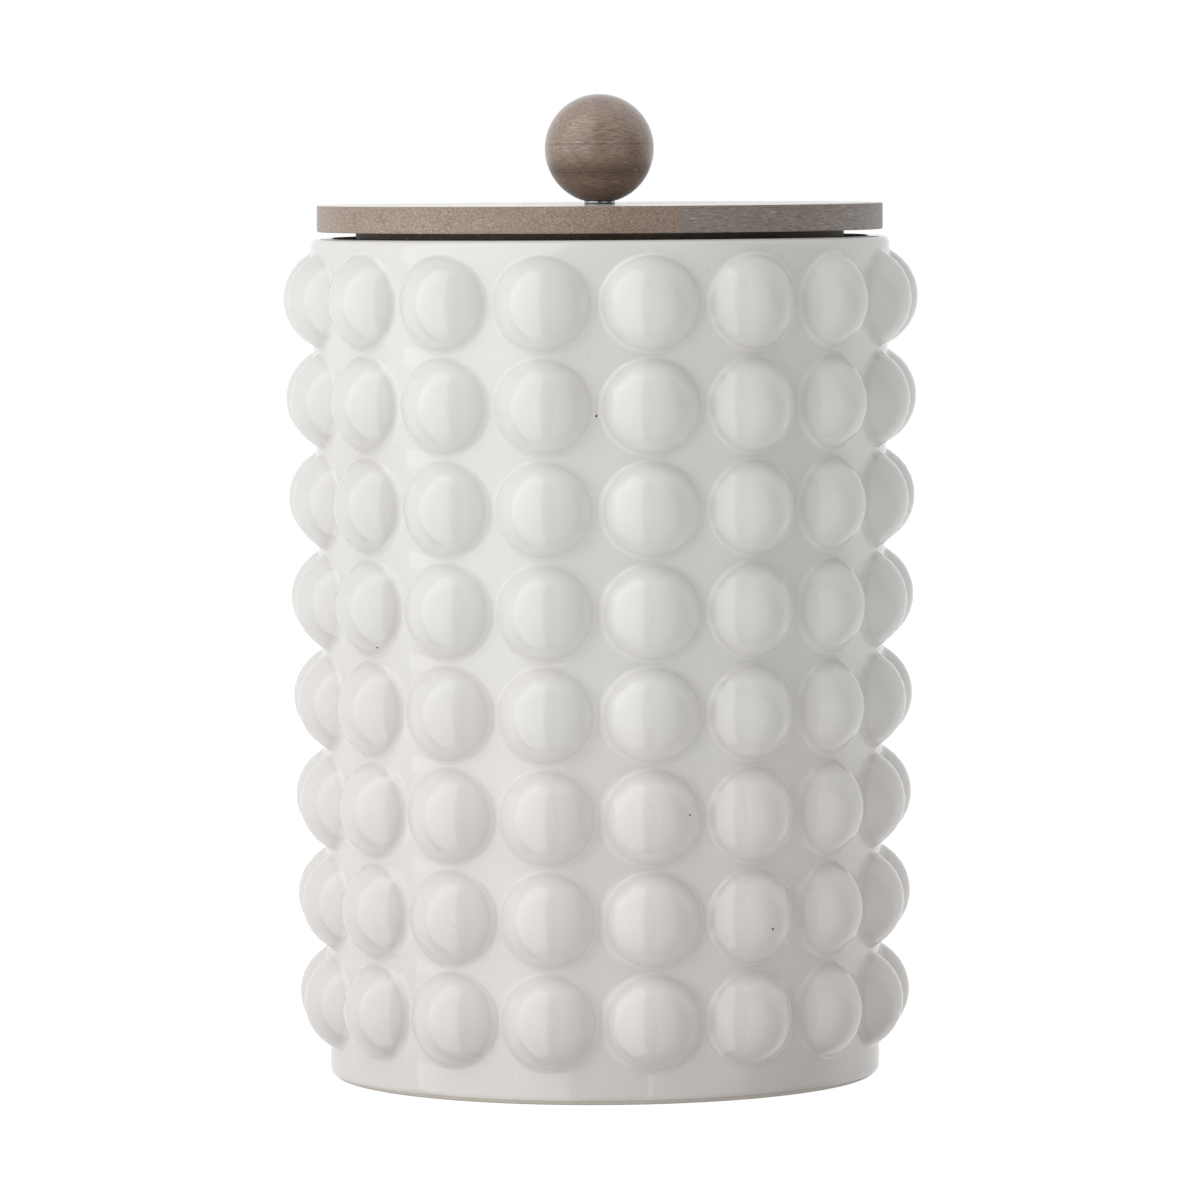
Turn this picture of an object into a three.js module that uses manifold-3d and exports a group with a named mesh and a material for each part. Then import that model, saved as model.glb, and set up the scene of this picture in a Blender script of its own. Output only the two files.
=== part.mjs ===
// Storage jar: a glazed stoneware body covered in round bosses, and a wooden lid with a ball knob.
// Sizes are in millimetres, +Z is up, and the origin is the centre of the jar's underside.
import * as THREE from "three";
import { mergeVertices } from "three/addons/utils/BufferGeometryUtils.js";
import Module from "manifold-3d";

const wasm = await Module();
wasm.setup();

// Jar body: the bare wall flares slightly from foot to rim
const JAR_HEIGHT = 235.9; // underside to the top of the rim
const FOOT_RADIUS = 77.5; // outside of the bare wall at the bottom
const RIM_FLARE = 3.8; // how much further out the bare wall is at the top
const FLARE_EVENNESS = 0.7; // 1 flares evenly on the way up, 0 mostly near the rim
const WALL_THICKNESS = 6.5;
const FLOOR_THICKNESS = 8;
const FLOOR_CORNER_ROUND = 8; // inside, where the wall meets the floor
const FOOT_EDGE_ROUND = 1.5;
const FOOT_LAND = 7; // width of the bare ring that stands on the table
const FOOT_RECESS = 3; // how far the underside is hollowed inside that ring
const FOOT_RECESS_SLOPE = 2; // how far the recess's wall leans inwards
const RIM_OUTER_ROUND = 2.2;
const RIM_INNER_ROUND = 2.5;

// Bosses: caps of a sphere in even rows and columns, blended into the wall
const BOSS_RADIUS = 14.5; // of the sphere
const BOSS_HEIGHT = 8.8; // over the bare wall
const BOSS_FILLET = 2; // depth over which a boss runs into the wall
const ROW_PITCH = 28;
const COLUMN_PITCH = 29.3; // along the wall, rounded to a whole number of columns
const LOWEST_ROW = 22.8; // underside to the centres of the lowest row
const FIRST_COLUMN = Math.PI / 2; // one column stands at the back, so the front is a gap between two

// Lid: a glued panel of boards
const LID_INSET = 1.9; // the lid's edge to the outside of the bare wall at the rim
const LID_THICKNESS = 7.4;
const LID_EDGE_ROUND = 0.5;
const LID_GAP = 1.8; // between the rim and the lid's underside
const BOARD_WIDTH = 46; // of the middle board; the outer ones take what is left

// Plug under the lid, with a groove for the seal
const PLUG_CLEARANCE = 6.3; // plug to the mouth, all round, which the seal closes
const PLUG_DEPTH = 14;
const PLUG_CHAMFER = 1;
const GROOVE_DEPTH = 2.5;

// Seal: a soft band with a lip over the rim's inner edge and a fin lower down
const SEAL_DROP = 2.2; // lid's underside to the top of the band
const SEAL_HEIGHT = 6.6;
const SEAL_BAND = 3; // thickness of the band
const SEAL_LIP_THICKNESS = 0.6; // of lip and fin at their tips
const SEAL_LIP_ROOT = 0.9; // of lip and fin where they leave the band
const SEAL_FIN_RISE = 1.2; // how much higher the fin's tip is than its root
const SEAL_CLEARANCE = 0.4; // lip and fin to the mouth
const GROOVE_CLEARANCE = 0.3; // band to the groove's floor

// Knob: a ball with a small flat, on a washer, held by a screw from underneath
const KNOB_RADIUS = 15.3;
const KNOB_FLAT_RADIUS = 4.9;
const WASHER_RADIUS = 4.35;
const WASHER_THICKNESS = 1;
const SCREW_RADIUS = 2;
const SCREW_LENGTH = 38;
const SCREW_HEAD_RADIUS = 4;
const SCREW_HEAD_HEIGHT = 2.4;
const SCREW_POINT = 5; // length of its tapered end
const SCREW_TIP_RADIUS = 0.4;
const SCREW_SLOT_LENGTH = 4.6; // of each arm of the cross recess
const SCREW_SLOT_WIDTH = 1;
const SCREW_SLOT_DEPTH = 1.4;
const SCREW_CLEARANCE = 0.3; // screw to its holes, all round
const SCREW_END_ROOM = 1; // from the screw's point to the end of its hole

// Fineness of the surfaces
const TILE_STEPS = 3; // vertices along each side of the patch of wall round one boss
const BOSS_RINGS = 2;
const RING_MARGIN = 0.95; // share of the way to the patch's side that the outermost ring may take
const ROUND_SEGMENTS = 48;
const KNOB_SEGMENTS = 30;
const KNOB_ARC_STEPS = 12;
const SMALL_SEGMENTS = 16;
const ARC_STEPS = 2; // in a rounded edge
const CUT_MARGIN = 1; // how far a cutting tool stands out of what it cuts

// Sizes and places that follow
const RIM_RADIUS = FOOT_RADIUS + RIM_FLARE;
const LID_RADIUS = RIM_RADIUS - LID_INSET;
const PLUG_RADIUS = RIM_RADIUS - WALL_THICKNESS - PLUG_CLEARANCE;
const COLUMNS = Math.round((Math.PI * (FOOT_RADIUS + RIM_RADIUS)) / COLUMN_PITCH);
const COLUMN_ANGLE = (2 * Math.PI) / COLUMNS;
const LOWEST_TILE_EDGE = LOWEST_ROW - ROW_PITCH / 2;
const ROWS = Math.floor((JAR_HEIGHT - RIM_OUTER_ROUND - LOWEST_TILE_EDGE) / ROW_PITCH);
const HALF_TILE = Math.min(ROW_PITCH / 2, (Math.PI * FOOT_RADIUS) / COLUMNS);
const BOSS_FOOT = Math.sqrt(BOSS_RADIUS ** 2 - (BOSS_RADIUS - BOSS_HEIGHT - BOSS_FILLET / 2) ** 2);
const INNER_FLOOR = FOOT_RECESS + FLOOR_THICKNESS;
const LID_SEAT = JAR_HEIGHT + LID_GAP;
const KNOB_SEAT = LID_THICKNESS + WASHER_THICKNESS;
const KNOB_CENTRE = Math.sqrt(KNOB_RADIUS ** 2 - KNOB_FLAT_RADIUS ** 2);
const SCREW_HOLE_RADIUS = SCREW_RADIUS + SCREW_CLEARANCE;

// Materials
const glazedStoneware = new THREE.MeshStandardMaterial({ color: 0xe6e5e2, roughness: 0.15, metalness: 0 });
const stainedBeech = new THREE.MeshStandardMaterial({ color: 0x8f7b6c, roughness: 0.5, metalness: 0 });
const greyStainedBeech = new THREE.MeshStandardMaterial({ color: 0x7f746b, roughness: 0.5, metalness: 0 });
const turnedBeech = new THREE.MeshStandardMaterial({ color: 0x86705f, roughness: 0.45, metalness: 0 });
const softBlackRubber = new THREE.MeshStandardMaterial({ color: 0x232220, roughness: 0.7, metalness: 0 });
const platedSteel = new THREE.MeshStandardMaterial({ color: 0xc4c4c2, roughness: 0.3, metalness: 1 });

function wallRadius(z) {
  const rise = z / JAR_HEIGHT;
  const flare = FLARE_EVENNESS * rise + (1 - FLARE_EVENNESS) * rise ** 2;
  return FOOT_RADIUS + RIM_FLARE * flare;
}

function innerRadius(z) {
  return wallRadius(z) - WALL_THICKNESS;
}

function rowHeight(row) {
  return LOWEST_ROW + row * ROW_PITCH;
}

// Distance of a boss's sphere centre from the jar's axis
function bossCentre(row) {
  return wallRadius(rowHeight(row)) + BOSS_HEIGHT - BOSS_RADIUS;
}

function bossRadius(row, angle, z) {
  const centre = bossCentre(row);
  const side = centre * Math.sin(angle);
  const reach = BOSS_RADIUS ** 2 - side ** 2 - (z - rowHeight(row)) ** 2;
  return reach > 0 ? centre * Math.cos(angle) + Math.sqrt(reach) : 0;
}

function blend(a, b) {
  const overlap = Math.max(BOSS_FILLET - Math.abs(a - b), 0) / BOSS_FILLET;
  return Math.max(a, b) + (overlap ** 2 * BOSS_FILLET) / 4;
}

// The outside of the jar: wall and nearby bosses as one smooth surface
function surfaceRadius(angle, z) {
  const nearestColumn = Math.round(angle / COLUMN_ANGLE);
  const nearestRow = Math.round((z - LOWEST_ROW) / ROW_PITCH);
  let radius = wallRadius(z);
  for (let row = Math.max(nearestRow - 1, 0); row <= Math.min(nearestRow + 1, ROWS - 1); row += 1) {
    for (let column = nearestColumn - 1; column <= nearestColumn + 1; column += 1) {
      radius = blend(radius, bossRadius(row, angle - column * COLUMN_ANGLE, z));
    }
  }
  return radius;
}

// How far a boss's outermost ring of vertices reaches in one direction
function ringReach(turn) {
  const toSide = HALF_TILE / Math.max(Math.abs(Math.cos(turn)), Math.abs(Math.sin(turn)));
  return Math.min(BOSS_FOOT, RING_MARGIN * toSide);
}

// Where a vertex along a tile's side lies, from -1 at one corner to 1 at the other
function tileShare(step) {
  return Math.tan(-Math.PI / 4 + ((Math.PI / 2) * step) / TILE_STEPS);
}

// The jar body is one closed surface: rings of vertices from the underside's middle, up the
// outside, over the rim and down to the floor's middle, with a patch of tiles for the bosses.
function jarBodyGeometry() {
  const positions = [];
  const faces = [];
  const around = COLUMNS * TILE_STEPS;
  const ringAngles = Array.from(
    { length: around },
    (_, i) => COLUMN_ANGLE * (Math.floor(i / TILE_STEPS) + tileShare(i % TILE_STEPS) / 2),
  );

  const addVertex = (radius, angle, z) => {
    positions.push(radius * Math.cos(angle), radius * Math.sin(angle), z);
    return positions.length / 3 - 1;
  };
  const addRing = (radiusAt, z) => ringAngles.map((angle) => addVertex(radiusAt(angle), angle, z));
  const next = (index, count) => (index + 1) % count;
  const joinRings = (lower, upper) => {
    lower.forEach((vertex, i) => {
      const j = next(i, lower.length);
      faces.push(vertex, lower[j], upper[j], vertex, upper[j], upper[i]);
    });
  };
  const closeRing = (ring, centre) => {
    ring.forEach((vertex, i) => faces.push(vertex, ring[next(i, ring.length)], centre));
  };
  const joinAll = (rings) => rings.slice(1).forEach((ring, i) => joinRings(rings[i], ring));
  const arcTurns = Array.from({ length: ARC_STEPS + 1 }, (_, i) => (Math.PI / 2) * (i / ARC_STEPS));

  // Underside and foot
  const landOuter = FOOT_RADIUS - FOOT_EDGE_ROUND;
  const landInner = landOuter - FOOT_LAND;
  const footRings = [
    addRing(() => landInner - FOOT_RECESS_SLOPE, FOOT_RECESS),
    addRing(() => landInner, 0),
  ];
  for (const turn of arcTurns) {
    const z = FOOT_EDGE_ROUND * (1 - Math.cos(turn));
    footRings.push(addRing(() => wallRadius(z) - FOOT_EDGE_ROUND * (1 - Math.sin(turn)), z));
  }
  joinAll(footRings);
  const undersideMiddle = addVertex(0, 0, FOOT_RECESS);
  closeRing([...footRings[0]].reverse(), undersideMiddle);

  // Tiles: shared lattice vertices on their sides, rings of vertices round each boss inside
  const lattice = [];
  for (let row = 0; row < ROWS; row += 1) {
    for (let step = 0; step < TILE_STEPS; step += 1) {
      const z = rowHeight(row) + (tileShare(step) * ROW_PITCH) / 2;
      const onSide = step === 0;
      lattice.push(
        ringAngles.map((angle, i) =>
          onSide || i % TILE_STEPS === 0 ? addVertex(surfaceRadius(angle, z), angle, z) : null,
        ),
      );
    }
  }
  const tilesTop = rowHeight(ROWS - 1) + ROW_PITCH / 2;
  lattice.push(addRing((angle) => surfaceRadius(angle, tilesTop), tilesTop));

  for (let row = 0; row < ROWS; row += 1) {
    for (let column = 0; column < COLUMNS; column += 1) {
      const left = column * TILE_STEPS;
      const right = ((column + 1) % COLUMNS) * TILE_STEPS;
      const bottom = row * TILE_STEPS;
      const top = bottom + TILE_STEPS;
      const side = [];
      for (let i = 0; i < TILE_STEPS; i += 1) side.push(lattice[bottom][left + i]);
      for (let j = 0; j < TILE_STEPS; j += 1) side.push(lattice[bottom + j][right]);
      for (let i = TILE_STEPS; i > 0; i -= 1) side.push(lattice[top][(left + i) % around]);
      for (let j = TILE_STEPS; j > 0; j -= 1) side.push(lattice[bottom + j][left]);

      const middleAngle = column * COLUMN_ANGLE;
      const middle = addVertex(surfaceRadius(middleAngle, rowHeight(row)), middleAngle, rowHeight(row));
      let outer = side;
      for (let ring = BOSS_RINGS; ring > 0; ring -= 1) {
        const inner = side.map((_, i) => {
          const turn = (Math.PI / 2) * (i / TILE_STEPS - 1.5);
          const lean = (Math.asin(ringReach(turn) / BOSS_RADIUS) * ring) / BOSS_RINGS;
          const spread = BOSS_RADIUS * Math.sin(lean);
          const depth = bossCentre(row) + BOSS_RADIUS * Math.cos(lean);
          const angle = middleAngle + Math.atan((spread * Math.cos(turn)) / depth);
          const z = rowHeight(row) + spread * Math.sin(turn);
          return addVertex(surfaceRadius(angle, z), angle, z);
        });
        joinRings(outer, inner);
        outer = inner;
      }
      closeRing(outer, middle);
    }
  }
  joinRings(footRings.at(-1), lattice[0]);

  // Rim, inside wall and floor
  const insideRings = [lattice.at(-1)];
  for (const turn of arcTurns) {
    const z = JAR_HEIGHT - RIM_OUTER_ROUND * (1 - Math.sin(turn));
    const inset = RIM_OUTER_ROUND * (1 - Math.cos(turn));
    insideRings.push(addRing((angle) => surfaceRadius(angle, z) - inset, z));
  }
  for (const turn of [...arcTurns].reverse()) {
    const z = JAR_HEIGHT - RIM_INNER_ROUND * (1 - Math.sin(turn));
    insideRings.push(addRing(() => innerRadius(z) + RIM_INNER_ROUND * (1 - Math.cos(turn)), z));
  }
  const cornerTop = INNER_FLOOR + FLOOR_CORNER_ROUND;
  const halfway = (JAR_HEIGHT + cornerTop) / 2;
  insideRings.push(addRing(() => innerRadius(halfway), halfway));
  for (const turn of arcTurns) {
    const z = cornerTop - FLOOR_CORNER_ROUND * Math.sin(turn);
    const inset = FLOOR_CORNER_ROUND * (1 - Math.cos(turn));
    insideRings.push(addRing(() => innerRadius(cornerTop) - inset, z));
  }
  joinAll(insideRings);
  closeRing(insideRings.at(-1), addVertex(0, 0, INNER_FLOOR));

  const geometry = new THREE.BufferGeometry();
  geometry.setAttribute("position", new THREE.Float32BufferAttribute(positions, 3));
  geometry.setIndex(faces);
  geometry.computeVertexNormals();
  return geometry;
}

// A turned piece: its outline runs anticlockwise, with the radius to the right and +Z up
function turned(outline, segments) {
  const points = outline.map(([radius, z]) => new THREE.Vector2(radius, z));
  const lathe = new THREE.LatheGeometry(points, segments).rotateX(Math.PI / 2);
  lathe.deleteAttribute("normal");
  lathe.deleteAttribute("uv");
  const merged = mergeVertices(lathe);
  const corners = merged.index.array;
  const faces = [];
  for (let i = 0; i < corners.length; i += 3) {
    const [a, b, c] = corners.slice(i, i + 3);
    if (a !== b && b !== c && c !== a) faces.push(a, b, c);
  }
  merged.setIndex(faces);
  merged.computeVertexNormals();
  return merged;
}

function arc(centreRadius, centreZ, radius, from, to, steps) {
  return Array.from({ length: steps + 1 }, (_, i) => {
    const turn = from + ((to - from) * i) / steps;
    return [centreRadius + radius * Math.cos(turn), centreZ + radius * Math.sin(turn)];
  });
}

function toSolid(geometry) {
  const bare = geometry.clone();
  bare.deleteAttribute("normal");
  bare.deleteAttribute("uv");
  const merged = mergeVertices(bare);
  const mesh = new wasm.Mesh({
    numProp: 3,
    vertProperties: merged.attributes.position.array,
    triVerts: Uint32Array.from(merged.index.array),
  });
  return new wasm.Manifold(mesh);
}

function toGeometry(solid) {
  const { vertProperties, triVerts } = solid.getMesh();
  const geometry = new THREE.BufferGeometry();
  geometry.setAttribute("position", new THREE.BufferAttribute(vertProperties, 3));
  geometry.setIndex(new THREE.BufferAttribute(triVerts, 1));
  geometry.computeVertexNormals();
  return geometry;
}

function named(name, geometry, material) {
  const mesh = new THREE.Mesh(geometry, material);
  mesh.name = name;
  return mesh;
}

// The lid's boards, in the lid's own frame: z is 0 at its underside
function lidBoards() {
  const edge = LID_RADIUS - LID_EDGE_ROUND;
  const panel = toSolid(
    turned(
      [
        [0, 0],
        ...arc(edge, LID_EDGE_ROUND, LID_EDGE_ROUND, -Math.PI / 2, 0, ARC_STEPS),
        ...arc(edge, LID_THICKNESS - LID_EDGE_ROUND, LID_EDGE_ROUND, 0, Math.PI / 2, ARC_STEPS),
        [0, LID_THICKNESS],
      ],
      ROUND_SEGMENTS,
    ),
  );
  const bore = new THREE.CylinderGeometry(
    SCREW_HOLE_RADIUS,
    SCREW_HOLE_RADIUS,
    LID_THICKNESS + 2 * CUT_MARGIN,
    SMALL_SEGMENTS,
  );
  bore.rotateX(Math.PI / 2).translate(0, 0, LID_THICKNESS / 2);
  const drilled = panel.subtract(toSolid(bore));

  const cutBoard = (from, to) => {
    const box = new THREE.BoxGeometry(to - from, 2 * (LID_RADIUS + CUT_MARGIN), LID_THICKNESS + 2 * CUT_MARGIN);
    box.translate((from + to) / 2, 0, LID_THICKNESS / 2);
    return toGeometry(drilled.intersect(toSolid(box)));
  };
  const joint = BOARD_WIDTH / 2;
  const outside = LID_RADIUS + CUT_MARGIN;
  return [
    named("lid_board_left", cutBoard(-outside, -joint), stainedBeech),
    named("lid_board_centre", cutBoard(-joint, joint), stainedBeech),
    named("lid_board_right", cutBoard(joint, outside), greyStainedBeech),
  ];
}

function lidPlug() {
  const grooveTop = -SEAL_DROP;
  const grooveBottom = grooveTop - SEAL_HEIGHT;
  const sinkRadius = SCREW_HEAD_RADIUS + SCREW_CLEARANCE;
  const start = [SCREW_HOLE_RADIUS, -PLUG_DEPTH + SCREW_HEAD_HEIGHT];
  return turned(
    [
      start,
      [sinkRadius, -PLUG_DEPTH],
      [PLUG_RADIUS - PLUG_CHAMFER, -PLUG_DEPTH],
      [PLUG_RADIUS, -PLUG_DEPTH + PLUG_CHAMFER],
      [PLUG_RADIUS, grooveBottom],
      [PLUG_RADIUS - GROOVE_DEPTH, grooveBottom],
      [PLUG_RADIUS - GROOVE_DEPTH, grooveTop],
      [PLUG_RADIUS, grooveTop],
      [PLUG_RADIUS, 0],
      [SCREW_HOLE_RADIUS, 0],
      start,
    ],
    ROUND_SEGMENTS,
  );
}

// The lip lies on the rim's rounded inner edge, and the fin reaches for the mouth's wall
function sealRing() {
  const inner = PLUG_RADIUS - GROOVE_DEPTH + GROOVE_CLEARANCE;
  const outer = inner + SEAL_BAND;
  const top = -SEAL_DROP;
  const bottom = top - SEAL_HEIGHT;
  const roundCentre = JAR_HEIGHT - RIM_INNER_ROUND;
  const lipReach = (RIM_INNER_ROUND + SEAL_CLEARANCE) * Math.SQRT1_2;
  const lipRadius = innerRadius(roundCentre) + RIM_INNER_ROUND - lipReach;
  const lipHeight = roundCentre + lipReach - LID_SEAT;
  const finRoot = bottom + SEAL_FIN_RISE;
  const finTip = finRoot + SEAL_FIN_RISE;
  const finRadius = innerRadius(finTip + LID_SEAT) - SEAL_CLEARANCE;
  const start = [inner, bottom];
  return turned(
    [
      start,
      [outer, bottom],
      [outer, finRoot],
      [finRadius, finTip],
      [finRadius, finTip + SEAL_LIP_THICKNESS],
      [outer, finRoot + SEAL_LIP_ROOT],
      [outer, top - SEAL_LIP_ROOT],
      [lipRadius, lipHeight],
      [lipRadius, lipHeight + SEAL_LIP_THICKNESS],
      [outer, top],
      [inner, top],
      start,
    ],
    ROUND_SEGMENTS,
  );
}

function knobWasher() {
  const start = [SCREW_HOLE_RADIUS, 0];
  return turned(
    [start, [WASHER_RADIUS, 0], [WASHER_RADIUS, WASHER_THICKNESS], [SCREW_HOLE_RADIUS, WASHER_THICKNESS], start],
    SMALL_SEGMENTS,
  );
}

// The ball, with z 0 at its flat and a blind hole for the screw
function knobBall() {
  const holeEnd = SCREW_LENGTH - PLUG_DEPTH - KNOB_SEAT + SCREW_END_ROOM;
  const flatTurn = -Math.asin(KNOB_CENTRE / KNOB_RADIUS);
  return turned(
    [
      [0, holeEnd],
      [SCREW_HOLE_RADIUS, holeEnd],
      [SCREW_HOLE_RADIUS, 0],
      ...arc(0, KNOB_CENTRE, KNOB_RADIUS, flatTurn, Math.PI / 2, KNOB_ARC_STEPS).slice(0, -1),
      [0, KNOB_CENTRE + KNOB_RADIUS],
    ],
    KNOB_SEGMENTS,
  );
}

// The screw, with z 0 at its head, which has a cross recess
function knobScrew() {
  const shank = toSolid(
    turned(
      [
        [0, 0],
        [SCREW_HEAD_RADIUS, 0],
        [SCREW_RADIUS, SCREW_HEAD_HEIGHT],
        [SCREW_RADIUS, SCREW_LENGTH - SCREW_POINT],
        [SCREW_TIP_RADIUS, SCREW_LENGTH],
        [0, SCREW_LENGTH],
      ],
      SMALL_SEGMENTS,
    ),
  );
  const arm = () => new THREE.BoxGeometry(SCREW_SLOT_LENGTH, SCREW_SLOT_WIDTH, 2 * SCREW_SLOT_DEPTH);
  return toGeometry(shank.subtract(toSolid(arm())).subtract(toSolid(arm().rotateZ(Math.PI / 2))));
}

const body = named("jar_body", jarBodyGeometry(), glazedStoneware);
body.rotation.z = FIRST_COLUMN;

const knob = new THREE.Group();
knob.position.z = LID_THICKNESS;
const ball = named("knob", knobBall(), turnedBeech);
ball.position.z = WASHER_THICKNESS;
knob.add(named("knob_washer", knobWasher(), platedSteel), ball);

const screw = named("knob_screw", knobScrew(), platedSteel);
screw.position.z = -PLUG_DEPTH;

const lid = new THREE.Group();
lid.position.z = LID_SEAT;
lid.add(...lidBoards());
lid.add(named("lid_plug", lidPlug(), stainedBeech));
lid.add(named("seal_ring", sealRing(), softBlackRubber));
lid.add(knob, screw);

const jar = new THREE.Group();
jar.add(body, lid);

export default jar;
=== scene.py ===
import math

import bmesh
import bpy
import numpy as np
from mathutils import Matrix, Vector


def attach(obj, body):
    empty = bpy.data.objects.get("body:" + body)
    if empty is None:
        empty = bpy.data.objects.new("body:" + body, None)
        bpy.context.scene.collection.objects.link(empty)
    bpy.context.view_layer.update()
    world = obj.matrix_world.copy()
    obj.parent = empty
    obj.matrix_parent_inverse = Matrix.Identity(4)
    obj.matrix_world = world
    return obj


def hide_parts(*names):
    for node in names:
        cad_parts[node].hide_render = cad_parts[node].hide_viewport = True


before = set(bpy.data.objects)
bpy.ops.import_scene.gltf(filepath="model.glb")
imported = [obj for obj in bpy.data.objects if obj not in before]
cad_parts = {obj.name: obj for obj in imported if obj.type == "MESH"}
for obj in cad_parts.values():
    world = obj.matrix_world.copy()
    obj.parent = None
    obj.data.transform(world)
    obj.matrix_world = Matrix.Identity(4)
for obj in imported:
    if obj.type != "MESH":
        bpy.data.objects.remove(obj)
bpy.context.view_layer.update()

MM = 0.001  # every size below is in millimetres

# Camera: a long lens in front of the jar, a little above the lid's height and tilted down, so
# the lid's top is a sliver and the foot's curve shows. It leans and stands round by less than a
# degree.
CAMERA_DISTANCE = 2150
CAMERA_HEIGHT = 262
CAMERA_SIDE = -0.6
CAMERA_TURN = math.radians(0.7)  # how far round the jar it stands, to the right of the front
CAMERA_TILT = math.radians(3.416)
CAMERA_LEAN = math.radians(-0.36)
LENS = 229.4  # on a sensor 36 mm wide

camera_data = bpy.data.cameras.new("camera")
camera_data.lens = LENS
camera = bpy.data.objects.new("camera", camera_data)
camera.matrix_world = (
    Matrix.Rotation(CAMERA_TURN, 4, "Z")
    @ Matrix.Translation(Vector((CAMERA_SIDE, -CAMERA_DISTANCE, CAMERA_HEIGHT)) * MM)
    @ Matrix.Rotation(math.pi / 2 - CAMERA_TILT, 4, "X")
    @ Matrix.Rotation(CAMERA_LEAN, 4, "Z")
)
bpy.context.scene.collection.objects.link(camera)
bpy.context.scene.camera = camera
bpy.context.scene.view_settings.view_transform = "Standard"

# Studio: a tall soft panel at the left, a dimmer one at the right with a bright strip along its
# near edge, and a dark gap between them where the camera stands. The backdrop behind is white.
PANEL_DISTANCE = 1300
PANEL_FOOT = -3200
PANEL_TOP = 3000


def add_node(tree, kind, inputs=None, **settings):
    """Adds a node. An input given as a socket is linked, and any other value is set."""
    node = tree.nodes.new(kind)
    for name, value in settings.items():
        setattr(node, name, value)
    for name, value in (inputs or {}).items():
        if isinstance(value, bpy.types.NodeSocket):
            tree.links.new(value, node.inputs[name])
        else:
            node.inputs[name].default_value = value
    return node


def light_panel(name, near_edge, far_edge, radiance):
    """A vertical panel between two directions from the jar, in degrees right of its front."""
    corners = []
    for edge in (near_edge, far_edge):
        turn = math.radians(edge)
        corners.append(Vector((math.sin(turn), -math.cos(turn), 0)) * PANEL_DISTANCE * MM)
    height = (PANEL_TOP - PANEL_FOOT) * MM
    middle = (corners[0] + corners[1]) / 2
    middle.z = (PANEL_TOP + PANEL_FOOT) / 2 * MM
    width = (corners[1] - corners[0]).length
    data = bpy.data.lights.new(name, "AREA")
    data.shape = "RECTANGLE"
    data.size = width
    data.size_y = height
    data.energy = radiance * math.pi * width * height
    panel = bpy.data.objects.new(name, data)
    facing = Vector((middle.x, middle.y, 0))
    turned_in = facing.to_track_quat("Z", "Y").to_matrix().to_4x4()
    panel.matrix_world = Matrix.Translation(middle) @ turned_in
    panel.visible_camera = False
    bpy.context.scene.collection.objects.link(panel)


light_panel("panel_left", near_edge=-13.7, far_edge=-82, radiance=1.36)
light_panel("panel_right", near_edge=20, far_edge=60, radiance=0.52)
light_panel("strip_right", near_edge=18, far_edge=20, radiance=1.5)

# The backdrop stands behind the jar, leans over it and comes further round at the left. The
# camera and the glossy surfaces see it white, and it lights the matt ones only softly.
BACKDROP_SIDE = (-0.2, 1, 0.5)
BACKDROP_FADE = (-0.3, 0.25)  # from no backdrop to all of it, along that direction
BACKDROP_LIGHT = 0.4
ROOM_LIGHT = 0.17  # from the dark front of the room
ROOM_MIRRORED = 0.05

world = bpy.data.worlds.new("studio")
bpy.context.scene.world = world
world.use_nodes = True
tree = world.node_tree
tree.nodes.clear()
ray = add_node(tree, "ShaderNodeLightPath")
direction = add_node(tree, "ShaderNodeTexCoord")
behind = add_node(
    tree,
    "ShaderNodeVectorMath",
    {0: direction.outputs["Generated"], 1: BACKDROP_SIDE},
    operation="DOT_PRODUCT",
)
backdrop = add_node(
    tree,
    "ShaderNodeMapRange",
    {
        "Value": behind.outputs["Value"],
        "From Min": BACKDROP_FADE[0],
        "From Max": BACKDROP_FADE[1],
    },
    interpolation_type="SMOOTHSTEP",
)
mirrored = add_node(
    tree,
    "ShaderNodeMath",
    {0: backdrop.outputs["Result"], 1: ray.outputs["Is Glossy Ray"]},
    operation="MULTIPLY",
)
dim = add_node(
    tree,
    "ShaderNodeMapRange",
    {"Value": ray.outputs["Is Glossy Ray"], "To Min": ROOM_LIGHT, "To Max": ROOM_MIRRORED},
)
lit = add_node(
    tree,
    "ShaderNodeMapRange",
    {
        "Value": backdrop.outputs["Result"],
        "To Min": dim.outputs["Result"],
        "To Max": BACKDROP_LIGHT,
    },
)
seen = add_node(
    tree,
    "ShaderNodeMath",
    {0: mirrored.outputs[0], 1: ray.outputs["Is Camera Ray"]},
    operation="MAXIMUM",
)
strength = add_node(
    tree,
    "ShaderNodeMath",
    {0: seen.outputs[0], 1: lit.outputs["Result"]},
    operation="MAXIMUM",
)
background = add_node(
    tree, "ShaderNodeBackground", {"Color": (1, 1, 1, 1), "Strength": strength.outputs[0]}
)
add_node(tree, "ShaderNodeOutputWorld", {"Surface": background.outputs[0]})

# Floor: a pale matt sheet. It looks white to the camera except in the jar's own contact shadow,
# and the glaze sees past it to the panels, which reach below the sheet.
FLOOR_SIZE = 12000
FLOOR_DROP = 0.05  # below the jar's foot, so the two faces don't coincide
SHADOW_START = 80  # distances from the jar's axis
SHADOW_REACH = 200
FLOOR_LIFT = 0.88  # added for the camera only, close to the jar
FLOOR_GLOW = 0.36  # the soft light that comes up from the sheet, less of it close to the jar
NEAR_GLOW = 0.15
FLOOR_GREY = 0.6

mesh = bpy.data.meshes.new("floor")
half = FLOOR_SIZE / 2 * MM
corners = [(-half, -half, 0), (half, -half, 0), (half, half, 0), (-half, half, 0)]
mesh.from_pydata(corners, [], [(0, 1, 2, 3)])
floor = bpy.data.objects.new("floor", mesh)
floor.location.z = -FLOOR_DROP * MM
bpy.context.scene.collection.objects.link(floor)
floor.visible_glossy = False

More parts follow.
